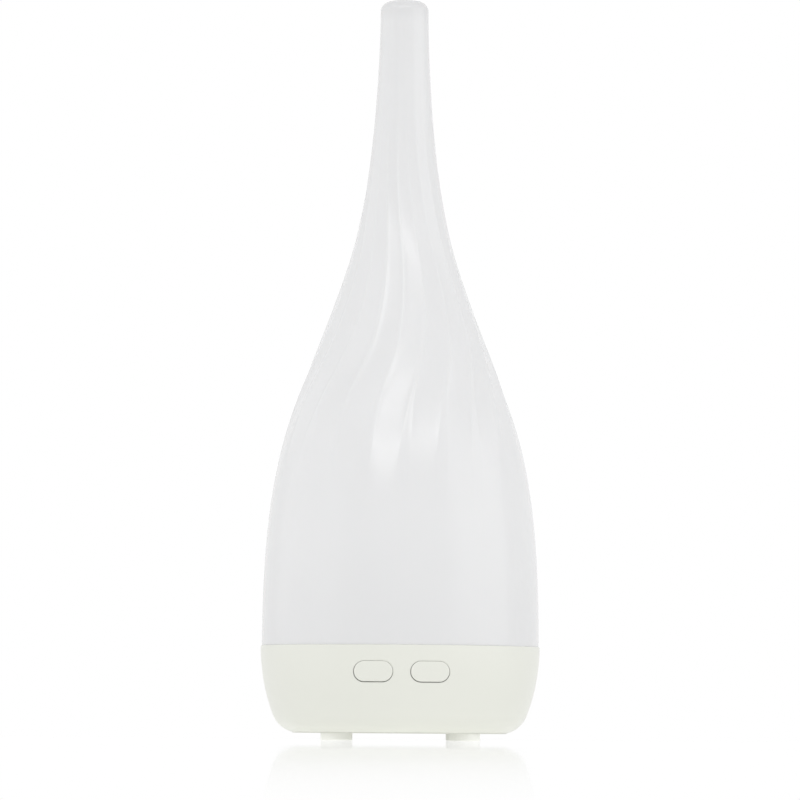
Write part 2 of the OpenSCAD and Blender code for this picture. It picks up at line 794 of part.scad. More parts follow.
// Water tank, its gasket and its screws
module water_tank() {
    color(clear_plastic) difference() {
        union() {
            translate([0, 0, deck_z]) cylinder(r = deck_r, h = deck_t);
            translate([0, 0, base_h]) tube(collar_r, collar_r - collar_wall, collar_h);
            translate([0, 0, deck_z]) tube(tank_r, tank_in, rim_z - deck_z);
            translate([0, air_y, inlet_tube_z])
                cylinder(r = air_r + air_wall, h = air_top - inlet_tube_z);
            translate([0, trans_y, clamp_top])
                tube(socket_r + socket_wall, socket_r, seal_h);
            for (s = lug_spots) translate([lug_ring_r * s[0], lug_ring_r * s[1], lug_top])
                cylinder(r = boss_r, h = boss_l + eps);
            translate([0, trans_y, clamp_top]) for (a = ear_angles) rotate(a)
                translate([ear_ring_r, 0, 0]) cylinder(r = ear_r, h = seal_h + eps);
            translate([0, trans_y, 0]) for (a = stake_angles) rotate(a)
                translate([lamp_mid_r, 0, 0]) lamp_stake();
        }
        translate([0, air_y, inlet_tube_z - eps])
            cylinder(r = air_r, h = air_top - inlet_tube_z + 2 * eps);
        translate([0, trans_y, clamp_top - eps])
            cylinder(r = socket_r, h = seal_h + eps);
        translate([0, trans_y, deck_z - eps]) cylinder(r = well_r, h = deck_t + 2 * eps);
        for (s = lug_spots) translate([lug_ring_r * s[0], lug_ring_r * s[1], lug_top - eps])
            cylinder(r = big_screw[0], h = boss_l + deck_t - screw_roof + eps);
        translate([0, trans_y, clamp_top - eps]) for (a = ear_angles) rotate(a)
            translate([ear_ring_r, 0, 0])
                cylinder(r = small_screw[0], h = seal_h + deck_t - screw_roof + eps);
    }
}

// A shoulder above the lamp board, a peg through it and a melted head below it
module lamp_stake() {
    board_top_z = lamp_board_z + lamp_board_t;
    translate([0, 0, board_top_z]) cylinder(r = stake_head_r, h = deck_z - board_top_z + eps);
    translate([0, 0, lamp_board_z - stake_head_t])
        cylinder(r = stake_r, h = lamp_board_t + stake_head_t + eps);
    translate([0, 0, lamp_board_z - stake_head_t]) cylinder(r = stake_head_r, h = stake_head_t);
}

module tank_gasket() {
    color(silicone) translate([0, 0, upper_ledge_top])
        tube(deck_r, deck_r - gasket_w, gasket_t);
}

module tank_screws() {
    color(steel) for (s = lug_spots) translate([lug_ring_r * s[0], lug_ring_r * s[1], lug_z])
        screw(big_screw, lug_t + boss_l + deck_t - screw_roof);
}

// Transducer
module transducer_disc() {
    color(brass) translate([0, trans_y, disc_z]) cylinder(r = disc_r, h = disc_t);
}

module transducer_seal() {
    color(silicone) translate([0, trans_y, clamp_top]) difference() {
        tube(seal_r, seal_in, seal_h);
        translate([0, 0, disc_z - clamp_top]) cylinder(r = disc_r, h = disc_t);
    }
}

module transducer_clamp() {
    color(base_white) translate([0, trans_y, clamp_z]) difference() {
        union() {
            cylinder(r = socket_r + socket_wall, h = clamp_t);
            for (a = ear_angles) rotate(a) {
                translate([ear_ring_r, 0, 0]) cylinder(r = ear_r, h = clamp_t);
                translate([seal_r, -ear_r, 0]) cube([ear_ring_r - seal_r, 2 * ear_r, clamp_t]);
            }
        }
        translate([0, 0, -eps]) cylinder(r = seal_in - clamp_rim, h = clamp_t + 2 * eps);
        for (a = ear_angles) rotate(a) translate([ear_ring_r, 0, -eps])
            cylinder(r = small_screw[0] + screw_gap, h = clamp_t + 2 * eps);
    }
}

module clamp_screws() {
    color(steel) translate([0, trans_y, clamp_z]) for (a = ear_angles) rotate(a)
        translate([ear_ring_r, 0, 0])
            screw(small_screw, clamp_t + seal_h + deck_t - screw_roof);
}

// Fan
module fan_frame() {
    color(black_plastic) translate([0, fan_y, plate_top]) {
        difference() {
            translate([-fan_size / 2, -fan_size / 2, 0]) cube([fan_size, fan_size, fan_depth]);
            translate([0, 0, -eps]) cylinder(r = fan_bore_r, h = fan_depth + 2 * eps);
            for (x = [-1, 1], y = [-1, 1])
                translate([x * fan_hole_pitch / 2, y * fan_hole_pitch / 2, -eps])
                    cylinder(r = small_screw[0] + screw_gap, h = fan_depth + 2 * eps);
        }
        difference() {
            union() {
                cylinder(r = fan_hub_r, h = fan_floor_t);
                for (a = [45:90:315]) rotate(a) translate([0, -spoke_w / 2, 0])
                    cube([fan_bore_r + fan_rim / 2, spoke_w, fan_floor_t]);
                cylinder(r = sleeve_r, h = rotor_room_top - bearing_room / 2 - plate_top);
            }
            translate([0, 0, bearing_floor_t]) cylinder(r = bearing_r, h = fan_depth);
        }
    }
}

module fan_bearing() {
    z = plate_top + bearing_floor_t;
    color(brass) translate([0, fan_y, z])
        tube(bearing_r, shaft_r + bearing_gap, rotor_room_top - bearing_room - z);
}

// A laminated core with four poles, each ending in a curved shoe
module fan_stator() {
    z = plate_top + fan_floor_t + part_gap;
    h = rotor_room_top - rotor_sink - z;
    color(copper) translate([0, fan_y, z]) difference() {
        union() {
            cylinder(r = core_r, h = h);
            for (a = [0:90:270]) rotate(a) translate([0, -pole_w / 2, 0])
                cube([stator_r - pole_shoe_t / 2, pole_w, h]);
            difference() {
                tube(stator_r, stator_r - pole_shoe_t, h);
                for (a = [45:90:315]) rotate(a) translate([0, -pole_slot_w / 2, -eps])
                    cube([stator_r + eps, pole_slot_w, h + 2 * eps]);
            }
        }
        translate([0, 0, -eps]) cylinder(r = sleeve_r, h = h + 2 * eps);
    }
}

// A cup over the stator that carries the blades
module fan_rotor() {
    h = rotor_top - rotor_z;
    color(black_plastic) translate([0, fan_y, rotor_z]) {
        difference() {
            cylinder(r = fan_hub_r, h = h);
            translate([0, 0, -eps])
                cylinder(r = fan_hub_r - fan_skin, h = h - rotor_roof_t + eps);
            translate([0, 0, -eps]) cylinder(r = shaft_r, h = h - rotor_roof_t / 2 + eps);
        }
        intersection() {
            tube(blade_r, fan_hub_r - fan_skin / 2, h);
            for (i = [0:fan_blades - 1]) rotate(360 * i / fan_blades)
                translate([fan_hub_r, 0, h / 2]) rotate([blade_pitch, 0, 0])
                    translate([-fan_skin, -blade_t / 2, -h])
                        cube([blade_r, blade_t, 2 * h]);
        }
    }
}

module fan_magnet() {
    color(steel) translate([0, fan_y, rotor_z])
        tube(fan_hub_r - fan_skin, fan_hub_r - fan_skin - magnet_t,
             rotor_room_top - rotor_z);
}

module fan_shaft() {
    z = plate_top + bearing_floor_t + shaft_gap;
    color(steel) translate([0, fan_y, z])
        cylinder(r = shaft_r, h = rotor_top - rotor_roof_t / 2 - z);
}

module fan_screws() {
    color(steel) at(fan_hole_spots, fan_top + flange_t) rotate([180, 0, 0])
        screw(small_screw, flange_t + fan_depth + fan_screw_bite);
}

// A flange on the fan, a funnel that leans back, and a socket round the tank's air tube
module air_duct() {
    color(base_white) difference() {
        union() {
            translate([-fan_size / 2, fan_y - fan_size / 2, fan_top])
                cube([fan_size, fan_size, flange_t]);
            funnel(funnel_wall, 0);
            translate([0, air_y, socket_z])
                cylinder(r = air_r + air_wall + part_gap + funnel_wall, h = socket_h);
        }
        funnel(0, eps);
        translate([0, air_y, socket_z])
            cylinder(r = air_r + air_wall + part_gap, h = socket_h + eps);
        at(fan_hole_spots, fan_top - eps)
            cylinder(r = small_screw[0] + screw_gap, h = flange_t + 2 * eps);
        at(fan_hole_spots, fan_top + flange_t)
            cylinder(r = small_screw[1] + screw_gap, h = small_screw[2] + eps);
    }
}

module funnel(grow, extra) {
    hull() {
        translate([0, fan_y, fan_top - extra])
            cylinder(r = fan_bore_r - funnel_lip + grow, h = funnel_end_t + extra, $fn = 32);
        translate([0, air_y, socket_z - funnel_end_t])
            cylinder(r = air_r + air_wall + grow, h = funnel_end_t + extra, $fn = 32);
    }
}

// Main board and its parts
module main_board() {
    color(board_green) difference() {
        translate([-board_w / 2, board_front, board_z])
            cube([board_w, board_rear - board_front, board_t]);
        at(board_screw_spots, board_z - eps)
            cylinder(r = small_screw[0] + screw_gap, h = board_t + 2 * eps);
    }
}

module main_board_screws() {
    color(steel) at(board_screw_spots, board_top) rotate([180, 0, 0])
        screw(small_screw, thread_l);
}

module board_capacitors() {
    color(black_plastic) at(capacitor_spots, board_top) {
        cylinder(r = capacitor_r, h = capacitor_neck[1]);
        cylinder(r = capacitor_r - capacitor_neck[0], h = capacitor_neck[2]);
        translate([0, 0, capacitor_neck[2]])
            cylinder(r = capacitor_r, h = capacitor_h - capacitor_neck[2]);
    }
}

module board_inductor() {
    color(copper) translate([inductor_spot[0], inductor_spot[1], board_top]) {
        cylinder(r = inductor_r - inductor_groove, h = inductor_h);
        for (z = [0, inductor_h - inductor_flange_t]) translate([0, 0, z])
            cylinder(r = inductor_r, h = inductor_flange_t);
    }
}

module heat_sink() {
    color(steel) translate([sink_x - sink_w / 2, sink_y, board_top]) {
        translate([0, fin_d, 0]) cube([sink_w, sink_base_t, sink_h]);
        for (i = [0:sink_fins - 1]) translate([i * (sink_w - fin_t) / (sink_fins - 1), 0, 0])
            cube([fin_t, fin_d + eps, sink_h]);
    }
}

module driver_transistor() {
    translate([sink_x, sink_y + fin_d + sink_base_t, board_top]) {
        color(black_plastic) translate([-transistor_size[0] / 2, 0, transistor_leg[2]])
            cube(transistor_size);
        color(steel) for (i = [-1:1])
            translate([i * transistor_leg_pitch - transistor_leg[0] / 2, transistor_leg_y, 0])
                cube(transistor_leg);
    }
}

module controller_chip() {
    leg_y = (chip_size[1] + chip_leg[1]) / 2 - chip_leg_under;
    color(black_plastic) translate([chip_spot[0], chip_spot[1], board_top]) {
        translate([-chip_size[0] / 2, -chip_size[1] / 2, chip_lift]) cube(chip_size);
        for (i = [-3:3], y = [-leg_y, leg_y])
            translate([i * chip_leg_pitch, y, 0] - [chip_leg[0], chip_leg[1], 0] / 2)
                cube(chip_leg);
    }
}

module board_connectors() {
    slot_z = connector_size[2] - connector_slot_h;
    color(cover_white) at(connector_spots, board_top)
        translate([-connector_size[0] / 2, -connector_size[1] / 2, 0]) difference() {
            cube(connector_size);
            translate([connector_wall, -eps, slot_z])
                cube([connector_size[0] - 2 * connector_wall, connector_wall + eps,
                      connector_slot_h + eps]);
        }
}

// Power inlet
module dc_jack() {
    color(black_plastic) difference() {
        translate([-jack_w / 2, jack_back_y, jack_z - jack_h / 2]) cube([jack_w, jack_l, jack_h]);
        translate([0, jack_face_y - jack_bore_l, jack_z]) rotate([-90, 0, 0])
            cylinder(d = jack_bore, h = jack_bore_l + eps);
    }
}

module dc_jack_pin() {
    color(steel) translate([0, jack_face_y - jack_bore_l, jack_z]) rotate([-90, 0, 0])
        cylinder(d = pin_d, h = pin_l);
}

module jack_board() {
    color(board_green) difference() {
        translate([-jack_board_w / 2, jack_board_y, jack_board_z])
            cube([jack_board_w, jack_board_l, board_t]);
        at(jack_screw_spots, jack_board_z - eps)
            cylinder(r = small_screw[0] + screw_gap, h = board_t + 2 * eps);
    }
}

module jack_board_screws() {
    color(steel) at(jack_screw_spots, jack_board_z + board_t) rotate([180, 0, 0])
        screw(small_screw, thread_l);
}

// Buttons, switches and their board
module button(x) {
    color(base_white) {
        intersection() {
            translate([x, rim_y, button_z]) pill(cap_w, cap_h, body_r);
            base_form(cap_proud, base_h);
        }
        translate([x, rim_y + rim_t, button_z])
            pill(cap_w + 2 * rim_w, cap_h + 2 * rim_w, rim_t);
    }
}

module switch_stem(x) {
    color(black_plastic) translate([x, stem_y, button_z]) rotate([-90, 0, 0])
        cylinder(r = stem_r, h = stem_l);
}

module switch_body(x) {
    color(black_plastic) difference() {
        translate([x - switch_side / 2, switch_y, button_z - switch_side / 2])
            cube([switch_side, switch_d, switch_side]);
        translate([x, switch_y - eps, button_z]) rotate([-90, 0, 0])
            cylinder(r = stem_bore_r, h = switch_bore_d + eps);
    }
}

module button_board() {
    color(board_green) difference() {
        translate([-button_board_w / 2, button_board_y, button_board_low])
            cube([button_board_w, board_t, button_board_top - button_board_low]);
        for (x = [-1, 1]) translate([x * button_post_x, button_board_y - eps, button_post_z])
            rotate([-90, 0, 0]) cylinder(r = small_screw[0] + screw_gap, h = board_t + 2 * eps);
    }
}

module button_board_screws() {
    color(steel) for (x = [-1, 1])
        translate([x * button_post_x, button_board_y + board_t, button_post_z])
            rotate([90, 0, 0]) screw(small_screw, thread_l);
}

// Lamp ring under the tank, open towards the air tube
module lamp_board() {
    color(base_white) translate([0, trans_y, lamp_board_z]) difference() {
        tube(lamp_out_r, lamp_in_r, lamp_board_t);
        translate([0, 0, -eps]) linear_extrude(lamp_board_t + 2 * eps) polygon([
            [0, 0],
            for (a = [90 - lamp_open_a, 90, 90 + lamp_open_a])
                2 * lamp_out_r * [cos(a), sin(a)]
        ]);
        for (a = stake_angles) rotate(a) translate([lamp_mid_r, 0, -eps])
            cylinder(r = stake_hole_r, h = lamp_board_t + 2 * eps);
    }
}

module lamps() {
    span = 360 - 2 * lamp_open_a - 2 * lamp_margin_a;
    color("lightyellow") translate([0, trans_y, lamp_board_z + lamp_board_t])
        for (i = [0:lamp_count - 1])
            rotate(270 - span / 2 + span * i / (lamp_count - 1)) translate([lamp_mid_r, 0, 0])
                translate([-lamp_size[0] / 2, -lamp_size[1] / 2, 0]) cube(lamp_size);
}

mist_cover();
tank_lid();
base_housing();
bottom_plate();
foot_pads();
bottom_screws();
water_tank();
tank_gasket();
tank_screws();
transducer_disc();
transducer_seal();
transducer_clamp();
clamp_screws();
fan_frame();
fan_bearing();
fan_stator();
fan_rotor();
fan_magnet();
fan_shaft();
fan_screws();
air_duct();
main_board();
main_board_screws();
board_capacitors();
board_inductor();
heat_sink();
driver_transistor();
controller_chip();
board_connectors();
dc_jack();
dc_jack_pin();
jack_board();
jack_board_screws();
button_board();
button_board_screws();
button(light_x);  // light_button
button(mist_x);  // mist_button
switch_stem(light_x);  // light_switch_stem
switch_stem(mist_x);  // mist_switch_stem
switch_body(light_x);  // light_switch
switch_body(mist_x);  // mist_switch
lamp_board();
lamps();
color("firebrick") wire_pair(power_route, [1, 0, 0]);  // power_wires
color("firebrick") wire_pair(fan_route, [0, 1, 0]);  // fan_wires
color("gold") wire_pair(lamp_route, [1, 0, 0]);  // lamp_wires
color("navy") wire_pair(transducer_route, [1, 0, 0]);  // transducer_wires
color("gray") wire_pair(button_route, [1, 0, 0]);  // button_wires
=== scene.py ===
import json
import math

import bmesh
import bpy
import numpy as np
from mathutils import Matrix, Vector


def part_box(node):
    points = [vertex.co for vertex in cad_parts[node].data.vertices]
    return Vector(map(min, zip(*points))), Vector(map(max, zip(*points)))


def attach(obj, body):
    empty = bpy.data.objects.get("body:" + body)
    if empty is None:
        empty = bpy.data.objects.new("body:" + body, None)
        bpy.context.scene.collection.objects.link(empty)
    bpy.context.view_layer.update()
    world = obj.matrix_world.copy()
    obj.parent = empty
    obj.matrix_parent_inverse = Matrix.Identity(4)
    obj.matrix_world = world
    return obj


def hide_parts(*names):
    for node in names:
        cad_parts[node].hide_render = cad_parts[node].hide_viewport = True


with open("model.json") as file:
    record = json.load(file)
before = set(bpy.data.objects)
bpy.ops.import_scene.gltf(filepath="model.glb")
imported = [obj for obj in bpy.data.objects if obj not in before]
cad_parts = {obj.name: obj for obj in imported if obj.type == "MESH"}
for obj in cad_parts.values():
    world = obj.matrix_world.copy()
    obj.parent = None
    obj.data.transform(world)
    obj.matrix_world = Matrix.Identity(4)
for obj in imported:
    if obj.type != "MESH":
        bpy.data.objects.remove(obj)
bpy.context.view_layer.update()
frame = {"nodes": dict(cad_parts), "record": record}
print("frame loaded:", len(frame["nodes"]), "parts")

mm = 0.001
white = (1, 1, 1, 1)
slotOf = {part["node"]: part["material_slot"] for part in frame["record"]["subparts"]}
bodyOf = {node: body for body, nodes in frame["record"]["behaviour"]["bodies"].items()
          for node in nodes}

# The camera: a long lens far off, with its eye just over the table
view = {
    "azimuth": -0.7,       # degrees round the object, negative to its left
    "distance": 2.0,
    "eyeHeight": 0.004,
    "aimHeight": 0.1161,
    "aimRight": -0.00066,  # how far beside the axis it aims
    "roll": 0.41,
    "lens": 263.9,
    "sensorWidth": 36,
    "clipStart": 0.05,
}


# The matrix of something at a place, with the directions of its own three axes as columns
def standing(side, up, back, place):
    matrix = np.eye(4)
    matrix[:3] = np.column_stack([side, up, back, place])
    return Matrix(matrix)


# The eye stands on a circle round the axis. Back is the line from the aim to the eye, side is
# level and square to it, up is square to both, and the roll turns side and up round back.
def makeCamera(look):
    a, r = math.radians(look["azimuth"]), math.radians(look["roll"])
    eye = np.array([look["distance"] * math.sin(a), -look["distance"] * math.cos(a),
                    look["eyeHeight"]])
    across = np.array([math.cos(a), math.sin(a), 0])
    aim = look["aimRight"] * across + np.array([0, 0, look["aimHeight"]])
    back = (eye - aim) / np.linalg.norm(eye - aim)
    side = np.cross([0, 0, 1], back)
    side /= np.linalg.norm(side)
    up = np.cross(back, side)
    rolledSide = math.cos(r) * side + math.sin(r) * up
    rolledUp = math.cos(r) * up - math.sin(r) * side
    camera = bpy.data.objects.new("camera", bpy.data.cameras.new("camera"))
    bpy.context.scene.collection.objects.link(camera)
    camera.data.lens = look["lens"]
    camera.data.sensor_width = look["sensorWidth"]
    camera.data.clip_start = look["clipStart"]
    camera.matrix_world = standing(rolledSide, rolledUp, back, eye)
    bpy.context.scene.camera = camera


makeCamera(view)
bpy.context.scene.view_settings.view_transform = "Standard"


# A material without nodes, and its node tree
def startMaterial(name):
    material = bpy.data.materials.new(name)
    material.use_nodes = True
    material.node_tree.nodes.clear()
    return material, material.node_tree


# A node with its properties and inputs. An input goes by its socket's name, or by "in" and the
# socket's number, and is a value or another node's output.
def addNode(tree, kind, props=None, **inputs):
    node = tree.nodes.new(kind)
    for key, value in (props or {}).items():
        setattr(node, key, value)
    for key, value in inputs.items():
        numbered = key.startswith("in") and key[2:].isdigit()
        socket = node.inputs[int(key[2:])] if numbered else node.inputs[key]
        if isinstance(value, bpy.types.NodeSocket):
            tree.links.new(value, socket)
        else:
            socket.default_value = value
    return node


# Runs straight from one value to the other while the input runs from start to end
def evenRange(tree, value, start, end, atStart, atEnd):
    return addNode(tree, "ShaderNodeMapRange", Value=value,
                   in1=start, in2=end, in3=atStart, in4=atEnd).outputs[0]


# The same, eased at both ends
def easedRange(tree, value, start, end, atStart, atEnd):
    return addNode(tree, "ShaderNodeMapRange", {"interpolation_type": "SMOOTHSTEP"}, Value=value,
                   in1=start, in2=end, in3=atStart, in4=atEnd).outputs[0]


# The sum, product or greater of two values
def combine(tree, operation, first, second):
    return addNode(tree, "ShaderNodeMath", {"operation": operation},
                   in0=first, in1=second).outputs[0]


# One shader where the share is 0, the other where it is 1
def mixShaders(tree, share, first, second):
    return addNode(tree, "ShaderNodeMixShader", Fac=share, in1=first, in2=second).outputs[0]


# 1 for what the camera sees straight, in a reflection or through something clear, otherwise 0
def seenByCamera(tree):
    path = addNode(tree, "ShaderNodeLightPath")
    seen = combine(tree, "MAXIMUM", path.outputs["Is Camera Ray"], path.outputs["Is Glossy Ray"])
    return combine(tree, "MAXIMUM", seen, path.outputs["Is Transmission Ray"])


def colour(rgb):
    return (*rgb, 1)


# The studio: a white world and a white glossy table, in metres
studio = {
    "worldForDiffuse": 0.735,  # the world's light on the object
    "floorSize": 14.0,
    "shadowShare": 0.14,       # share of the table's white that the lamps give, near the object
    "shadowShareFar": 0.0,
    "shadowLift": 0.3,
    "shadowFrom": 0.25,
    "shadowTo": 0.7,
    "tableGrey": 0.8,
    "tableLight": 0.186,       # light of the table itself under and round the object
    "tableFrom": 0.15,
    "tableTo": 0.6,
    "underLight": 0.24,        # and of the disc right under it
    "underFrom": 0.035,
    "underTo": 0.055,
    "mirrorRoughness": 0.02,
    "mirrorNear": 0.46,        # the table's gloss, and how it fades out towards the front
    "mirrorFar": 0.02,
    "mirrorFrom": -1.0,
    "mirrorTo": -1.75,
    "mirrorBackFrom": 0.3,     # and behind the object
    "mirrorBackTo": 0.7,
    "lampAim": 0.12,           # height that the lamps face
}


# The camera sees the world as plain white, and the object is lit by it at its own strength
def makeWorld(look):
    world = bpy.data.worlds.new("studio")
    bpy.context.scene.world = world
    world.use_nodes = True
    tree = world.node_tree
    tree.nodes.clear()
    strength = evenRange(tree, seenByCamera(tree), 0, 1, look["worldForDiffuse"], 1)
    light = addNode(tree, "ShaderNodeBackground", Color=white, Strength=strength)
    addNode(tree, "ShaderNodeOutputWorld", Surface=light.outputs[0])


# Material of the table. The camera sees a white that the lamps give a share of, so that the
# object's shadow shows in it, under a faint gloss. To the object it is a pale matt sheet, with
# some light of its own that eases out with the distance from the axis.
def makeTableMaterial(look):
    material, tree = startMaterial("floor")
    place = addNode(tree, "ShaderNodeTexCoord").outputs["Object"]
    depth = addNode(tree, "ShaderNodeSeparateXYZ", Vector=place).outputs["Y"]
    away = addNode(tree, "ShaderNodeVectorMath", {"operation": "LENGTH"}, in0=place)
    away = away.outputs["Value"]
    share = easedRange(tree, away, look["shadowFrom"], look["shadowTo"],
                       look["shadowShare"], look["shadowShareFar"])
    # a little over white by the lamps' share, so that only the shadow falls under white
    level = addNode(tree, "ShaderNodeMath", {"operation": "MULTIPLY_ADD"},
                    in0=share, in1=look["shadowLift"], in2=1.0)
    glow = addNode(tree, "ShaderNodeEmission", Color=white, Strength=level.outputs[0])
    matt = addNode(tree, "ShaderNodeBsdfDiffuse", Color=white)
    lit = mixShaders(tree, share, glow.outputs[0], matt.outputs[0])
    front = easedRange(tree, depth, look["mirrorTo"], look["mirrorFrom"],
                       look["mirrorFar"], look["mirrorNear"])
    behind = easedRange(tree, depth, look["mirrorBackFrom"], look["mirrorBackTo"], 1, 0)
    gloss = addNode(tree, "ShaderNodeBsdfAnisotropic", Color=white,
                    Roughness=look["mirrorRoughness"])
    seen = mixShaders(tree, combine(tree, "MULTIPLY", front, behind), lit, gloss.outputs[0])
    near = easedRange(tree, away, look["tableFrom"], look["tableTo"], look["tableLight"], 0)
    under = easedRange(tree, away, look["underFrom"], look["underTo"], look["underLight"], 0)
    light = addNode(tree, "ShaderNodeEmission", Color=white,
                    Strength=combine(tree, "ADD", near, under))
    sheet = addNode(tree, "ShaderNodeBsdfDiffuse", Color=colour([look["tableGrey"]] * 3))
    plain = addNode(tree, "ShaderNodeAddShader", in0=sheet.outputs[0], in1=light.outputs[0])
    both = mixShaders(tree, seenByCamera(tree), plain.outputs[0], seen)
    addNode(tree, "ShaderNodeOutputMaterial", Surface=both)
    return material


def makeFloor(look):
    half = look["floorSize"] / 2
    mesh = bpy.data.meshes.new("floor")
    mesh.from_pydata([(-half, -half, 0), (half, -half, 0), (half, half, 0), (-half, half, 0)],
                     [], [(0, 1, 2, 3)])
    mesh.materials.append(makeTableMaterial(look))
    floor = bpy.data.objects.new("floor", mesh)
    bpy.context.scene.collection.objects.link(floor)


lamps = {
    # name: azimuth and elevation in degrees, distance, width, height, power in watts
    "leftBox": (-88, 14, 1.6, 2.4, 1.0, 3.1),
    "rightBox": (72, 14, 1.6, 1.6, 1.0, 4.1),
    "upperBox": (-60, 45, 1.6, 0.9, 0.7, 1.15),
    "swirlBox": (-6, 42, 2.0, 0.42, 0.45, 2.15),
    "neckBox": (-17, 29, 2.0, 0.42, 0.28, 2.0),
    "shoulderBox": (18, 35, 2.0, 0.42, 0.3, 2.04),
}


# Soft boxes, each on a sphere round the aim at its azimuth and elevation, facing inwards
def makeLamps(lampLooks, aimHeight):
    for name, (azimuth, elevation, distance, width, height, power) in lampLooks.items():
        a, e = math.radians(azimuth), math.radians(elevation)
        back = np.array([math.sin(a) * math.cos(e), -math.cos(a) * math.cos(e), math.sin(e)])
        side = np.array([math.cos(a), math.sin(a), 0])
        lamp = bpy.data.lights.new(name, "AREA")
        lamp.shape = "RECTANGLE"
        lamp.size = width
        lamp.size_y = height
        lamp.energy = power
        holder = bpy.data.objects.new(name, lamp)
        bpy.context.scene.collection.objects.link(holder)
        holder.matrix_world = standing(side, np.cross(back, side), back,
                                       distance * back + np.array([0, 0, aimHeight]))


makeWorld(studio)
makeFloor(studio)
makeLamps(lamps, studio["lampAim"])
print("studio ready")

noiseSpan = (0.3, 0.7)   # where most of a noise pattern's values lie


# The shader with its patterns and plain values, as the surface of the material
def finishMaterial(material, tree, tint, roughness, bump, plain):
    shader = addNode(tree, "ShaderNodeBsdfPrincipled", Roughness=roughness, Normal=bump,
                     **{"Base Color": tint}, **plain)
    addNode(tree, "ShaderNodeOutputMaterial", Surface=shader.outputs[0])
    return material


plasticLook = {
    "mottle": 55.0,          # how fine each pattern is, per metre
    "smear": 310.0,
    "grain": 2600.0,
    "vary": 0.012,           # how far the mottle takes the colour either way
    "glossVary": 0.02,       # and the smear the roughness
    "grainStrength": 0.25,
    "grainDepth": 0.00001,
    "ior": 1.48,
    "scatter": 0.0,
    "scatterDepth": 0.002,
    "scatterReach": (1, 0.95, 0.9),
    "clear": 0.0,
    "shades": (),            # painted shade, each from one height to another, and the colour's share at both
}


# Moulded plastic: a slow mottle in the colour, a finer smear in the gloss, and a fine mould grain.
# Each painted shade multiplies the colour by a share that eases from one height to another.
def mouldedPlastic(name, own):
    look = {**plasticLook, **own}
    material, tree = startMaterial(name)
    place = addNode(tree, "ShaderNodeTexCoord").outputs["Object"]
    mottle = addNode(tree, "ShaderNodeTexNoise", Vector=place, Scale=look["mottle"], Detail=3.0)
    base = np.array(look["colour"])
    tint = addNode(tree, "ShaderNodeMix", {"data_type": "RGBA"}, in0=mottle.outputs["Fac"],
                   in6=colour(base * (1 - look["vary"])), in7=colour(base * (1 + look["vary"])))
    tintedAndShaded = tint.outputs[2]
    # painted shade: the colour is darkened between the heights that each shade gives
    for start, end, atStart, atEnd in look["shades"]:
        height = addNode(tree, "ShaderNodeSeparateXYZ", Vector=place).outputs["Z"]
        tintedAndShaded = addNode(tree, "ShaderNodeVectorMath", {"operation": "SCALE"}, in0=tintedAndShaded,
                         Scale=easedRange(tree, height, start, end, atStart, atEnd)).outputs[0]
    smear = addNode(tree, "ShaderNodeTexNoise", Vector=place, Scale=look["smear"], Detail=2.0)
    gloss = evenRange(tree, smear.outputs["Fac"], *noiseSpan,
                      look["roughness"] - look["glossVary"], look["roughness"] + look["glossVary"])
    grain = addNode(tree, "ShaderNodeTexNoise", Vector=place, Scale=look["grain"], Detail=2.0)
    bump = addNode(tree, "ShaderNodeBump", Height=grain.outputs["Fac"],
                   Strength=look["grainStrength"], Distance=look["grainDepth"])
    plain = {"IOR": look["ior"], "Transmission Weight": look["clear"],
             "Subsurface Weight": look["scatter"], "Subsurface Scale": look["scatterDepth"],
             "Subsurface Radius": look["scatterReach"]}
    return finishMaterial(material, tree, tintedAndShaded, gloss, bump.outputs[0], plain)


metalLook = {
    "grain": 1500.0,         # how fine the scratches are, per metre
    "stretch": (1, 1, 1),    # and how many times finer along each axis
    "darkest": 0.88,
    "lightest": 1.08,
    "smoother": 0.08,        # how far the roughness goes down and up
    "rougher": 0.1,
    "scratchStrength": 0.3,
    "scratchDepth": 0.00001,
}


# Metal: long fine scratches, or a crystal mottle, in the colour, the roughness and the bump
def metal(name, own):
    look = {**metalLook, **own}
    material, tree = startMaterial(name)
    place = addNode(tree, "ShaderNodeTexCoord").outputs["Object"]
    stretched = addNode(tree, "ShaderNodeMapping", Vector=place, Scale=look["stretch"])
    lines = addNode(tree, "ShaderNodeTexNoise", Vector=stretched.outputs[0],
                    Scale=look["grain"], Detail=3.0).outputs["Fac"]
    base = np.array(look["colour"])
    tint = addNode(tree, "ShaderNodeMix", {"data_type": "RGBA"}, in0=lines,
                   in6=colour(base * look["darkest"]),
                   in7=colour(np.minimum(base * look["lightest"], 1)))
    gloss = evenRange(tree, lines, *noiseSpan,
                      look["roughness"] - look["smoother"], look["roughness"] + look["rougher"])
    bump = addNode(tree, "ShaderNodeBump", Height=lines,
                   Strength=look["scratchStrength"], Distance=look["scratchDepth"])
    return finishMaterial(material, tree, tint.outputs[2], gloss, bump.outputs[0],
                          {"Metallic": 1.0})


boardLook = {
    "raster": 160.0,         # tracks per metre
    "trackWidth": 0.03,      # share of the raster
    "haze": 900.0,
    "smoothest": 0.28,
    "roughest": 0.42,
    "trackStrength": 0.5,
    "trackDepth": 0.00003,
}


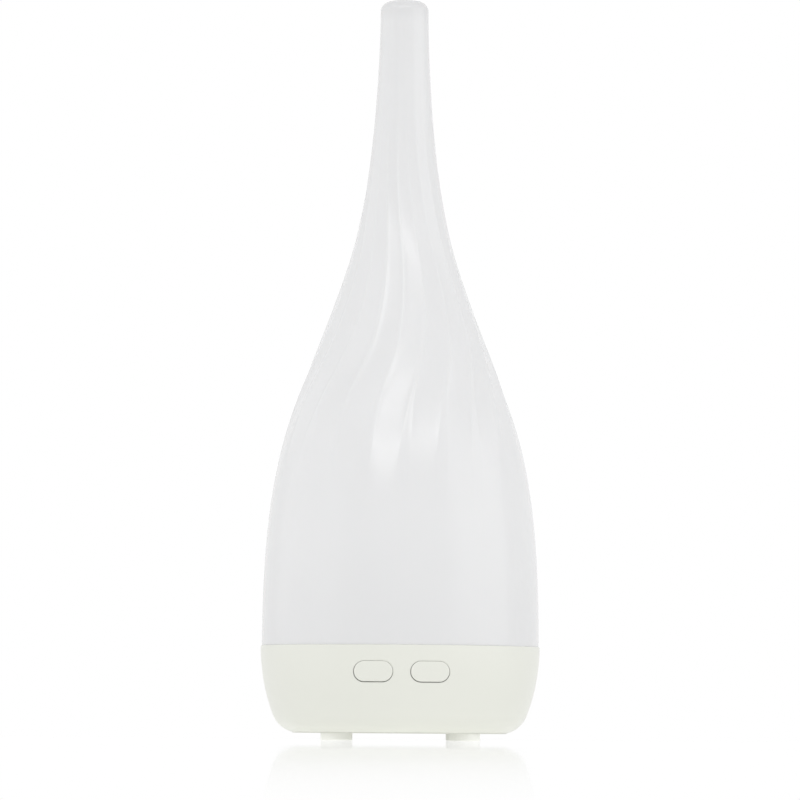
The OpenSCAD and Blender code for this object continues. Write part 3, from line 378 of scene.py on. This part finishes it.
# Circuit board: solder resist over copper tracks on a raster
def circuitBoard(name, own):
    look = {**boardLook, **own}
    material, tree = startMaterial(name)
    place = addNode(tree, "ShaderNodeTexCoord").outputs["Object"]
    tracks = addNode(tree, "ShaderNodeTexBrick", Vector=place, Scale=look["raster"],
                     Color1=colour(look["colour"]), Color2=colour(look["track"]),
                     Mortar=colour(look["track"]), **{"Mortar Size": look["trackWidth"]})
    haze = addNode(tree, "ShaderNodeTexNoise", Vector=place, Scale=look["haze"], Detail=2.0)
    gloss = evenRange(tree, haze.outputs["Fac"], 0, 1, look["smoothest"], look["roughest"])
    bump = addNode(tree, "ShaderNodeBump", Height=tracks.outputs["Fac"],
                   Strength=look["trackStrength"], Distance=look["trackDepth"])
    return finishMaterial(material, tree, tracks.outputs["Color"], gloss, bump.outputs[0], {})


windingLook = {
    "turns": 900.0,          # how close they lie
    "wobble": 0.6,
    "darkest": 0.55,         # share of the colour between two turns
    "roughest": 0.45,        # roughness between them and on them
    "smoothest": 0.25,
    "turnStrength": 0.6,
    "turnDepth": 0.0001,
}


# Copper winding: fine turns as bands along the height
def winding(name, own):
    look = {**windingLook, **own}
    material, tree = startMaterial(name)
    place = addNode(tree, "ShaderNodeTexCoord").outputs["Object"]
    turns = addNode(tree, "ShaderNodeTexWave", {"bands_direction": "Z"}, Vector=place,
                    Scale=look["turns"], Distortion=look["wobble"], Detail=1.0).outputs["Fac"]
    base = np.array(look["colour"])
    tint = addNode(tree, "ShaderNodeMix", {"data_type": "RGBA"}, in0=turns,
                   in6=colour(base * look["darkest"]), in7=colour(base))
    gloss = evenRange(tree, turns, 0, 1, look["roughest"], look["smoothest"])
    bump = addNode(tree, "ShaderNodeBump", Height=turns,
                   Strength=look["turnStrength"], Distance=look["turnDepth"])
    return finishMaterial(material, tree, tint.outputs[2], gloss, bump.outputs[0],
                          {"Metallic": 1.0})


# A plastic's roughness range keeps clear of about 0.275, where noise removal leaves pale flakes
finishes = {
    "cover_plastic": (mouldedPlastic, {"colour": (0.795, 0.797, 0.802), "roughness": 0.24,
                                       "scatter": 0.15, "scatterDepth": 0.0025,
                                       "shades": [(0.03, 0.075, 0.965, 1.0),      # painted shade on the foot, where the tank stands behind the wall
                                                  (0.244, 0.2525, 1.0, 0.93)]}),  # painted shade on the lip
    "lid_plastic": (mouldedPlastic, {"colour": (0.86, 0.88, 0.89), "roughness": 0.32,
                                     "clear": 0.6}),
    "tank_plastic": (mouldedPlastic, {"colour": (0.84, 0.86, 0.87), "roughness": 0.34,
                                      "clear": 0.5}),
    "housing_plastic": (mouldedPlastic, {"colour": (0.798, 0.807, 0.744), "roughness": 0.32}),
    "button_plastic": (mouldedPlastic, {"colour": (0.798, 0.807, 0.744), "roughness": 0.34}),
    # painted light: the feet's colour is lighter than the housing's to make up for the shade under
    # the base
    "foot_plastic": (mouldedPlastic, {"colour": (0.91, 0.915, 0.87), "roughness": 0.55,
                                      "scatter": 0.1}),
    "inner_plastic": (mouldedPlastic, {"colour": (0.76, 0.76, 0.74), "roughness": 0.45}),
    "silicone": (mouldedPlastic, {"colour": (0.7, 0.7, 0.68), "roughness": 0.6, "scatter": 0.2}),
    "screw_steel": (metal, {"colour": (0.62, 0.63, 0.65), "roughness": 0.3,
                            "stretch": (1, 1, 6)}),
    "disc_brass": (metal, {"colour": (0.78, 0.62, 0.28), "roughness": 0.28}),
    "black_plastic": (mouldedPlastic, {"colour": (0.028, 0.028, 0.031), "roughness": 0.42,
                                       "vary": 0.15}),
    "coil_copper": (winding, {"colour": (0.78, 0.38, 0.2)}),
    "shaft_steel": (metal, {"colour": (0.6, 0.6, 0.62), "roughness": 0.22,
                            "stretch": (1, 1, 12)}),
    "board_green": (circuitBoard, {"colour": (0.022, 0.12, 0.045), "track": (0.035, 0.17, 0.06)}),
    "board_white": (circuitBoard, {"colour": (0.8, 0.8, 0.79), "track": (0.74, 0.74, 0.72)}),
    "sink_aluminium": (metal, {"colour": (0.72, 0.73, 0.75), "roughness": 0.35,
                               "stretch": (1, 1, 0.08)}),
    "connector_plastic": (mouldedPlastic, {"colour": (0.8, 0.78, 0.7), "roughness": 0.4}),
    "lamp_resin": (mouldedPlastic, {"colour": (0.88, 0.78, 0.36), "roughness": 0.2,
                                    "clear": 0.3}),
    "wire_red": (mouldedPlastic, {"colour": (0.55, 0.035, 0.025), "roughness": 0.35}),
    "wire_yellow": (mouldedPlastic, {"colour": (0.75, 0.55, 0.04), "roughness": 0.35}),
    "wire_blue": (mouldedPlastic, {"colour": (0.03, 0.07, 0.38), "roughness": 0.35}),
    "wire_grey": (mouldedPlastic, {"colour": (0.32, 0.32, 0.33), "roughness": 0.35}),
}
materials = {slot: maker(slot, own) for slot, (maker, own) in finishes.items()}
print("materials ready:", len(materials))


# A mesh from a grid of points, rows by columns, whose columns close into rings.
# Rows close too where asked. Each cell is one face, and the winding is turned outwards.
def gridMesh(name, grid, closeRows=False):
    rows, columns = grid.shape[:2]
    index = np.arange(rows * columns).reshape(rows, columns)
    if closeRows:
        index = np.vstack([index, index[:1]])
    index = np.hstack([index, index[:, :1]])
    faces = np.stack([index[:-1, :-1], index[:-1, 1:], index[1:, 1:], index[1:, :-1]], -1)
    faces = faces.reshape(-1, 4)
    points = grid.reshape(-1, 3)
    a, b, c, d = (points[faces[:, k]] for k in range(4))
    volume = np.einsum("ij,ij->", a, np.cross(b, c)) + np.einsum("ij,ij->", a, np.cross(c, d))
    if volume < 0:
        faces = faces[:, ::-1]
    mesh = bpy.data.meshes.new(name)
    mesh.vertices.add(len(points))
    mesh.vertices.foreach_set("co", points.ravel())
    mesh.loops.add(faces.size)
    mesh.loops.foreach_set("vertex_index", faces.ravel())
    mesh.polygons.add(len(faces))
    mesh.polygons.foreach_set("loop_start", np.arange(0, faces.size, 4))
    mesh.update(calc_edges=True)
    mesh.polygons.foreach_set("use_smooth", np.ones(len(faces), bool))
    return mesh


# Merges the points that lie within reach of each other, and drops the faces left flat if asked
def mergePoints(mesh, reach, dropFlat=False):
    work = bmesh.new()
    work.from_mesh(mesh)
    bmesh.ops.remove_doubles(work, verts=work.verts, dist=reach)
    if dropFlat:
        bmesh.ops.dissolve_degenerate(work, edges=work.edges, dist=reach)
    work.to_mesh(mesh)
    work.free()


# Smooth shading, with an edge where two faces turn by more than an angle in degrees
def smoothShading(mesh, angle):
    mesh.polygons.foreach_set("use_smooth", np.ones(len(mesh.polygons), bool))
    mesh.set_sharp_from_angle(angle=math.radians(angle))


# A property of a mesh's points, corners or faces, as an array with a row for each
def readArray(items, name, width=1, kind=float):
    values = np.empty(width * len(items), kind)
    items.foreach_get(name, values)
    return values.reshape(-1, width) if width > 1 else values


def pieceName(node):
    words = node.split("_")
    return words[0] + "".join(word.capitalize() for word in words[1:])


def addPiece(name, mesh, body, slot, *replaced):
    piece = bpy.data.objects.new(name, mesh)
    bpy.context.scene.collection.objects.link(piece)
    mesh.materials.clear()
    mesh.materials.append(materials[slot])
    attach(piece, body)
    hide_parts(*replaced)
    return piece


# The mist cover, in millimetres and degrees
coverLook = {
    "waist": (18.6, 162.3),   # radius and height of the steepest place of the shoulder
    "waistLean": 17.7,
    "bellyPull": 76.0,
    "shoulderPull": 50.4,
    "neckPull": 33.9,
    "wall": 2.2,
    "spoutRadius": 8.2,
    "lip": (4.2, 3.4),        # width and height of its rounding
    "outletRadius": 5.0,
    "outletLength": 4.0,
    "edgeRadius": 0.03,
    "footInset": 0.15,        # how far the bottom edge stands in from the base's rim
    "footDrop": 0.04,         # so that only a hairline is left above the rim
    "samples": 400,           # points on each curve before they are spread evenly
    "rows": 176,
    "innerStep": 4,           # every so many of them also make a ring of the inner wall
    "lipRings": 9,
    "mouthRings": 5,
    "edgeRings": 3,
    "flutes": 20,
    "fluteHalf": 6.3,         # half the width of a flute's flat floor
    "fluteDepth": 0.4,        # at the edges of the floor
    "fluteLow": 98.0,         # height where their edges run out on the bulge
    "fluteRise": 20.0,        # height over which they reach their full depth
    "fluteTop": 205.0,        # height where they fade out on the neck
    "fluteFade": 87.0,
    "fluteEase": 0.12,        # rounding of both ends, as a share of the depth
    "fluteSlope": 3.0,        # width of a wall over its height
    "fluteRound": 0.1,        # rounding of their edges
    "roundsInPitch": 60,      # on the neck an edge takes no more than this part of the pitch
    "floorColumns": 8,
    "fluteStart": -6.7,       # where the first one stands
    "swirl": 3.6,             # turn down the shoulder
    "swirlTop": 136.2,
    "swirlHeight": 23.9,
    "waistTurn": (16.2, 153.5, 39.0),  # turn round the waist: degrees, height, reach
}


# Eases from 0 to 1: three times the square less twice the cube
def smoothstep(t):
    t = np.clip(t, 0, 1)
    return t * t * (3 - 2 * t)


# The lesser of two values, with the corner between them rounded
def softLesser(a, b, rounding):
    return (a + b - np.sqrt((a - b) ** 2 + rounding ** 2)) / 2


# A cubic Bezier curve: four points weighted by the four terms of ((1 - u) + u) cubed
def cubicCurve(p, u):
    u = u[:, None]
    return ((1 - u) ** 3 * p[0] + 3 * (1 - u) ** 2 * u * p[1]
            + 3 * (1 - u) * u * u * p[2] + u ** 3 * p[3])


# Points on an arc, as radius and height: the centre plus the radius turned by each angle
def arcPoints(x, z, radius, angles):
    return np.stack([x + radius * np.cos(angles), z + radius * np.sin(angles)], -1)


# The cover's outline, as radius and height: two cubic curves that meet at the waist, and
# their inward normals
def coverOutline(look, low, high, radius):
    waist = np.array(look["waist"])
    lean = math.radians(look["waistLean"])
    way = np.array([-math.sin(lean), math.cos(lean)])
    spout, tall = look["spoutRadius"], look["lip"][1]
    lipLow = high - tall
    lower = np.array([[radius, low], [radius, low + look["bellyPull"]],
                      waist - look["shoulderPull"] * way, waist])
    upper = np.array([waist, waist + look["neckPull"] * way,
                      [spout, lipLow - tall / 2], [spout, lipLow]])
    u = np.linspace(0, 1, look["samples"])
    path = np.vstack([cubicCurve(lower, u), cubicCurve(upper, u)[1:]])
    run = np.append(0, np.cumsum(np.hypot(*np.diff(path, axis=0).T)))
    even = np.linspace(0, run[-1], look["rows"])
    path = np.stack([np.interp(even, run, path[:, k]) for k in (0, 1)], -1)
    heading = np.gradient(path, axis=0)
    heading /= np.linalg.norm(heading, axis=1)[:, None]
    inward = np.stack([-heading[:, 1], heading[:, 0]], -1)
    return path, inward


# Turn of the swirl at a height, in degrees: a long turn down the shoulder and a slight one
# back at the waist
def swirlTurn(look, z):
    turn, height, reach = look["waistTurn"]
    down = look["swirl"] * smoothstep((look["swirlTop"] - z) / look["swirlHeight"])
    return look["fluteStart"] - down + turn * np.exp(-((z - height) / reach) ** 2)


# Flutes at the rings of an outline. Each flute's floor is flat across, so its middle lies deeper
# than its edges by the height of the arc above its chord, and sloping walls lead up to the lands.
# Returns the angles of the columns and the depth under the outline, for all rings at once.
def fluteGrid(look, radius, z):
    r = radius[:, None]
    half, pitch = math.radians(look["fluteHalf"]), 2 * math.pi / look["flutes"]
    ease, rounding = look["fluteEase"], look["fluteRound"]
    full = softLesser(1, (z - look["fluteLow"]) / look["fluteRise"], ease)
    share = softLesser(full, (look["fluteTop"] - z) / look["fluteFade"], ease)
    depth = look["fluteDepth"] * share[:, None]
    # e is half an edge's width, and the walls are held so that no two columns cross
    e = np.minimum(rounding / r, pitch / look["roundsInPitch"])
    wide = half + np.maximum(depth * look["fluteSlope"] / r, 3 * e)
    wide = np.minimum(wide, pitch / 2 - 1.5 * e)
    floor = (half - e) * np.linspace(-1, 1, look["floorColumns"])
    side = np.hstack([wide + e, wide - e, half + e])
    local = np.hstack([0 * r - pitch / 2, -side, floor, side[:, ::-1]])
    arc = r * (1 - math.cos(half) / np.cos(np.minimum(np.abs(local), half)))
    wall = -softLesser(0, (half - np.abs(local)) * r / look["fluteSlope"], rounding)
    sunk = -softLesser(0, wall - depth - arc, rounding)
    around = np.arange(look["flutes"])[None, :, None] * pitch + local[:, None, :]
    return around.reshape(len(r), -1), np.tile(sunk, look["flutes"])


# The cover is one closed grid: the fluted rings of the outline, sunk along its normals, then
# plain rings over the lip, down the outlet, down the inner wall and round the bottom edge. Every
# point is turned round the axis by the swirl at its height.
def makeCover(look):
    low, high = (np.array(corner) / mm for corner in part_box("mist_cover"))
    low[2] -= look["footDrop"]
    radius = high[0] - look["footInset"]
    path, inward = coverOutline(look, low[2], high[2], radius)
    around, sunk = fluteGrid(look, path[:, 0], path[:, 1])
    outer = path[:, None, :] + sunk[..., None] * inward[:, None, :]
    r, e = look["outletRadius"], look["edgeRadius"]
    wide, tall = look["lip"]
    # the lip's rounding runs on until it meets the outlet
    last = math.acos(max(0, 1 - (look["spoutRadius"] - r - e) / wide))
    a = np.linspace(0, last, look["lipRings"] + 1)[1:]
    lip = np.stack([look["spoutRadius"] - wide * (1 - np.cos(a)),
                    high[2] - tall * (1 - np.sin(a))], -1)
    a = np.radians(np.linspace(90, 180, look["mouthRings"]))
    mouth = arcPoints(r + e, lip[-1, 1] - e, e, a)
    throat = high[2] - look["outletLength"]
    inner = path + look["wall"] * inward
    inner = inner[inner[:, 1] < throat][::-look["innerStep"]]
    inner[-1, 1] = low[2] + e
    ceiling = np.array([[r, throat], [inner[0, 0], throat]])
    a = np.radians(np.linspace(180, 270, look["edgeRings"] + 1))[1:]
    foot = arcPoints(inner[-1, 0] + e, low[2] + e, e, a)
    a = np.radians(np.linspace(270, 360, look["edgeRings"] + 1))[:-1]
    heel = arcPoints(radius - e, low[2] + e, e, a)
    rings = np.vstack([lip, mouth, ceiling, inner, foot, heel])
    outer[0, :, 1] += e
    profile = np.vstack([outer, np.repeat(rings[:, None, :], around.shape[1], axis=1)])
    columns = np.vstack([around, np.repeat(around[-1:], len(rings), axis=0)])
    turned = columns + np.radians(swirlTurn(look, profile[..., 1]))
    far, height = profile[..., 0], profile[..., 1]
    grid = np.stack([far * np.sin(turned), -far * np.cos(turned), height], -1) * mm
    mesh = gridMesh("mistCover", grid, closeRows=True)
    addPiece("mistCover", mesh, "cover", "cover_plastic", "mist_cover")


makeCover(coverLook)
print("mist cover ready")

# How a copy of a solid part is merged and shaded, in metres and degrees
solidLook = {
    "mergeReach": 1e-6,
    "smoothAngle": 32,
}


# A copy of a solid part's mesh with its points merged and smooth shading
def smoothCopy(look, node):
    mesh = frame["nodes"][node].data.copy()
    mesh.name = pieceName(node)
    if mesh.has_custom_normals:    # they would point askew once the points are merged
        mesh.attributes.remove(mesh.attributes["custom_normal"])
    mergePoints(mesh, look["mergeReach"])
    smoothShading(mesh, look["smoothAngle"])
    return mesh


# The base housing, in millimetres
baseLook = {
    "sideRadius": 65.0,       # curve of the side, seen from the front
    "cornerRadius": 9.6,
    "bottom": 2.4,
    "rimRound": 0.3,          # rounding that the side's curve starts under
    "rimStart": 0.01,         # share of its height from which it counts
    "skin": 0.04,             # how near the outline a point counts as outside
    "facing": 0.85,           # least cosine between a face and the outline's normal
}


# The base's outline at a height: the radius and the outward normal of the side's arc, or of the
# bottom corner's arc where the height is under the place where the two meet
def baseOutline(look, z):
    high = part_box("base_housing")[1] / mm
    side, corner = look["sideRadius"], look["cornerRadius"]
    sideX, sideZ = high[0] - side, high[2] - look["rimRound"]
    cornerZ = look["bottom"] + corner
    cornerX = sideX + math.sqrt((side - corner) ** 2 - (sideZ - cornerZ) ** 2)
    blend = sideZ - side * (sideZ - cornerZ) / (side - corner)
    z = np.minimum(z, sideZ)
    onCorner = z < blend
    centreX, centreZ = np.where(onCorner, cornerX, sideX), np.where(onCorner, cornerZ, sideZ)
    reach = np.where(onCorner, corner, side)
    across = np.sqrt(np.maximum(reach ** 2 - (centreZ - z) ** 2, 0))
    return centreX + across, across / reach, (z - centreZ) / reach


# The housing keeps its solid's shape, and its outside gets the exact normals of its outline: at
# each corner of a face, the outline's normal turned to the corner's direction from the axis
def makeHousing(look):
    mesh = smoothCopy(solidLook, "base_housing")
    points = readArray(mesh.vertices, "co", 3) / mm
    far = np.hypot(points[:, 0], points[:, 1])
    radius, outward, upward = baseOutline(look, points[:, 2])
    rimRound = look["rimRound"]
    top = (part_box("base_housing")[1] / mm)[2]
    rise = np.clip((points[:, 2] - top + rimRound) / rimRound, 0, 1)
    level = np.sqrt(1 - rise ** 2)
    onRim = rise > look["rimStart"]
    radius = radius - rimRound * (1 - level)
    outward, upward = np.where(onRim, level, outward), np.where(onRim, rise, upward)
    outside = np.abs(far - radius) < look["skin"]
    corners = readArray(mesh.loops, "vertex_index", kind=int)
    starts = readArray(mesh.polygons, "loop_start", kind=int)
    counts = np.diff(np.append(starts, len(corners)))
    faceNormals = np.repeat(readArray(mesh.polygons, "normal", 3), counts, axis=0)
    around = points[corners, :2] / far[corners, None].clip(1e-6)
    exact = np.column_stack([around * outward[corners, None], upward[corners]])
    along = (exact * faceNormals).sum(1)
    dressed = np.logical_and.reduceat(outside[corners] & (along > look["facing"]), starts)
    normals = readArray(mesh.corner_normals, "vector", 3)
    normals = np.where(np.repeat(dressed, counts)[:, None], exact, normals)
    mesh.normals_split_custom_set(normals)
    print("housing faces with exact normals:", int(dressed.sum()), "of", len(dressed))
    addPiece("baseHousing", mesh, "base", "housing_plastic", "base_housing")


makeHousing(baseLook)
print("base housing ready")

# The push buttons, in millimetres and degrees
buttonLook = {
    "width": 12.98,
    "height": 6.88,
    "proud": 0.45,            # how far the face stands out of the base
    "edgeRound": 0.4,
    "sideRing": 1.2,          # how far before the flange the side's free ring lies
    "flange": 1.0,            # thickness of the flange behind the wall
    "flangeEdge": 0.1,        # bevel of its edges
    "backRing": 0.6,          # a ring on its back, as a share of the half height
    "faceRings": 5,
    "edgeRings": 7,
    "endPoints": 25,          # points round each end
    "linePoints": 11,         # and along each straight side
    "mergeReach": 1e-7,       # in metres
    "sharpAngle": 50,
    "shift": {"light_button": (0.03, 0.08), "mist_button": (0.02, 0.07)},  # play in the hole
}


# A push button: rings of a long round outline, from the middle line of the face over its rounded
# edge and back along its side to the flange, and across the flange's back to the middle line.
# A point of a ring is a point of the middle line plus the ring's spread turned by its angle.
def makeButton(look, node, body):
    low, high = (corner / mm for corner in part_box(node))
    shiftX, shiftZ = look["shift"][node]
    centreX, centreZ = (low[0] + high[0]) / 2, (low[2] + high[2]) / 2
    half, reach = look["height"] / 2, (look["width"] - look["height"]) / 2
    e, bevel = look["edgeRound"], look["flangeEdge"]
    ends, straight = look["endPoints"], look["linePoints"]
    bend = np.radians(np.linspace(-90, 90, ends))
    line = np.linspace(reach, -reach, straight + 2)[1:-1]
    angle = np.concatenate([bend, np.full(straight, math.pi / 2),
                            bend + math.pi, np.full(straight, -math.pi / 2)])
    middle = np.concatenate([np.full(ends, reach), line, np.full(ends, -reach), line[::-1]])
    flangeHalf = (high[2] - low[2]) / 2
    flangeFront, flangeBack = high[1] - look["flange"], high[1]
    side = np.array([[half, flangeFront - look["sideRing"]],    # spread and depth of each ring
                     [half, flangeFront],
                     [flangeHalf - bevel, flangeFront],
                     [flangeHalf, flangeFront + bevel],
                     [flangeHalf, flangeBack - bevel],
                     [flangeHalf - bevel, flangeBack],
                     [half * look["backRing"], flangeBack],
                     [0, flangeBack]])
    a = np.radians(np.linspace(0, 90, look["edgeRings"]))
    face = np.linspace(0, half - e, look["faceRings"] + 1)[:-1]
    back = np.concatenate([np.zeros(len(face)), e * (1 - np.cos(a))])
    spread = np.concatenate([face, half - e + e * np.sin(a), side[:, 0]])
    x = middle + spread[:, None] * np.cos(angle)
    z = spread[:, None] * np.sin(angle)
    wall = baseOutline(baseLook, z + centreZ)[0]
    y = -np.sqrt((wall + look["proud"]) ** 2 - (x + centreX) ** 2)
    y[:len(back)] += back[:, None]
    y[len(back):] = side[:, 1:]
    slide = (spread <= half)[:, None] & (y < flangeFront)
    grid = np.stack([x + centreX + shiftX * slide, y, z + centreZ + shiftZ * slide], -1) * mm
    mesh = gridMesh(pieceName(node), grid)
    mergePoints(mesh, look["mergeReach"], dropFlat=True)
    smoothShading(mesh, look["sharpAngle"])
    addPiece(pieceName(node), mesh, body, "button_plastic", node)


makeButton(buttonLook, "light_button", "light_key")
makeButton(buttonLook, "mist_button", "mist_key")
print("buttons ready")

# The other parts keep their solid shape
shaped = {"mist_cover", "base_housing", "light_button", "mist_button"}
for node in frame["nodes"]:
    if node not in shaped:
        addPiece(pieceName(node), smoothCopy(solidLook, node), bodyOf[node], slotOf[node], node)
print("parts dressed")
